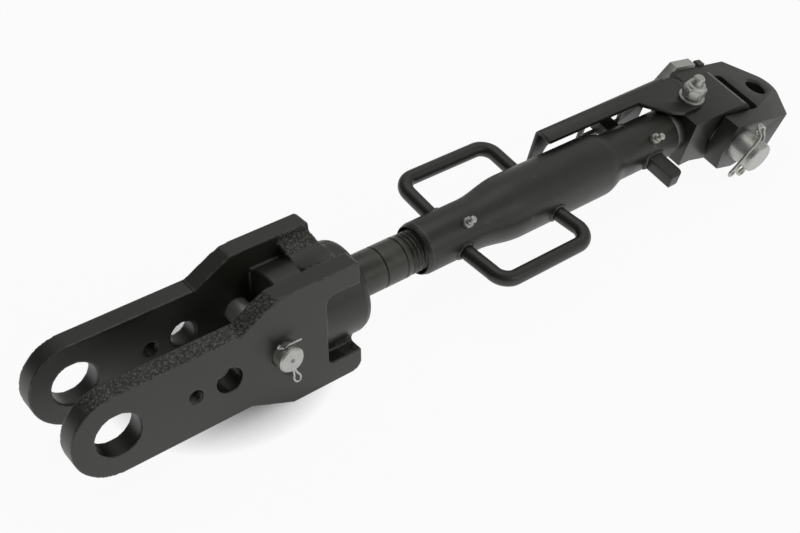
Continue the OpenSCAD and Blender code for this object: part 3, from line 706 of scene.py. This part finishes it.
bronze = finish("bronze", bronze_face)
steel = finish("bare_steel", lambda w: zinc_plate(w, 0.4, 0.4))
dark_steel = finish("oiled_steel", oiled_steel)
for node, name, width, material, body, slot in (
        ("knuckle_bush", "bush", 0.3, bronze, "head", "bronze"),
        ("knuckle_washers", "side_washers", 0.2, steel, "head", "bare_steel"),
        ("swivel_nut", "inner_nut", 0.5, steel, "head", "bare_steel"),
        ("swivel_nut_pin", "inner_nut_pin", 0.3, steel, "head", "bare_steel"),
        ("inner_thrust_washer", "washer_inner", 0.3, bronze, "thrust_washers", "bronze"),
        ("outer_thrust_washer", "washer_outer", 0.3, dark_steel, "thrust_washers", "bronze")):
    fit(broken_edges(node, name, width, 2), material, body, slot, node)


# LATCH
# Bent sheet steel that swings about a stud in the knuckle. Its window drops over the far lug, which
# locks the head to the tube.
fit(broken_edges("lock_latch", "latch", 0.7, 2), paint, "latch", "black_paint", "lock_latch")


# STUD AND NUT
# A zinc-plated stud, a washer and a lock nut with a round collar hold the latch down on the
# knuckle. The stud's thread shows above the nut.
stud_x, stud_y, stud_low, stud_high, stud_r = 649.5, 3, 11.25, 57.25, 5.95
stud_lay = (head_turn @ Matrix.Translation((stud_x * MM, stud_y * MM, 0))
            @ Matrix.Rotation(math.radians(-90), 4, "Y"))
stud = turned("stud", [(stud_low, axis_r), (stud_low, stud_r), (stud_high - 1.6, stud_r),
                       (stud_high, stud_r - 1.6), (stud_high, 2), (stud_high - 0.6, axis_r)], 48,
              (stud_low + 20, stud_high - 0.5, 1.75, 0.9), stud_lay)
fit(stud, zinc, "head", "zinc_plate", "latch_stud")
fit(broken_edges("latch_washer", "stud_washer", 0.4, 2), zinc, "head", "zinc_plate", "latch_washer")


def hexagon(name, outline, across, lay, sides=96):
    """A turned part cut to a hexagon, from a closed outline of [x, radius] points."""
    rings, twist = [], 0.35
    for x, r in outline + [outline[0]]:
        ring = []
        for a in [2 * math.pi * j / sides for j in range(sides)]:
            flat = across / 2 / math.cos((a + twist) % (math.pi / 3) - math.pi / 6)
            ring.append((x, min(r, flat) * math.cos(a), min(r, flat) * math.sin(a)))
        rings.append(ring)
    return ring_mesh(name, rings, lay, False)


nut_z, nut_flats, nut_r, nut_bore = 36.35, 20.6, 11.9, 6
nut = hexagon("stud_nut", [(nut_z, nut_bore), (nut_z, nut_r - 1.1), (nut_z + 0.8, nut_r), (nut_z + 8.6, nut_r),
                           (nut_z + 9.8, 10), (nut_z + 10, 9.4), (nut_z + 12.6, 8.6), (nut_z + 13.2, 7.6),
                           (nut_z + 13.2, nut_bore)],
              nut_flats, stud_lay)
fit(nut, zinc, "head", "zinc_plate", "latch_nut")


# YOKE
# A solid forged yoke, machined in its throat and holes, and painted black. Its corners are broken
# wider than the knuckle's.
fit(broken_edges("upper_yoke", "yoke", 1.5, 3), paint, "yoke", "black_paint", "upper_yoke")


# CROSS PIN
# A zinc-plated pin with a hexagon head, held by a spring clip. One leg of the clip goes through the
# pin's end, the other lies along its outside, and both end in a curl.
fit(broken_edges("upper_pin", "cross_pin", 0.6, 2), zinc, "yoke", "zinc_plate", "upper_pin")
pin_place, clip_turn = (0.688, 0, -0.005), math.radians(38)
yoke_lay = head_turn @ Matrix.Translation(pin_place) @ Matrix.Rotation(clip_turn, 4, "Y")
hole_y, outer_y, wire_r, curl_r, outer_curl_r = -62.9, -67.4, 1.5, 3.9, 3.8


def curl(x, y, z, r, first, last):
    """Points of a curl about (x, y, z) in a plane across the pin, between two angles in degrees."""
    return [(x + r * math.cos(math.radians(d)), y, z + r * math.sin(math.radians(d)))
            for d in range(first, last, 30)]


through_leg = list(reversed(curl(13, hole_y - 1, -20.5, curl_r, 270, 571)))
through_leg += [(7.5, hole_y - 0.7, -24.2), (2.5, hole_y - 0.3, -22), (0, hole_y, -17), (0, hole_y, 0),
                (0, hole_y, 15), (-1, hole_y + 1.5, 20)]
coil_start, coil_turn = 20, 480
coil = [(-10 + 6 * math.cos(math.radians(d)), hole_y + 4 + 4 * (d - coil_start) / coil_turn,
         22 + 4.6 * math.sin(math.radians(d)))
        for d in range(coil_start, coil_start + coil_turn + 1, 30)]
outer_leg = [(-18.5, -58, 23), (-21, -62.5, 20.5), (-21, outer_y + 0.6, 16), (-20.2, outer_y, 0),
             (-19.6, outer_y, -17)] + curl(-16.6, outer_y, -26, outer_curl_r, 150, 481)
clip = through_leg + coil + outer_leg
fit(bent_wire("spring_clip", smooth_path(clip, 4), wire_r, yoke_lay, 12), zinc, "yoke", "zinc_plate",
    "upper_pin_clip")
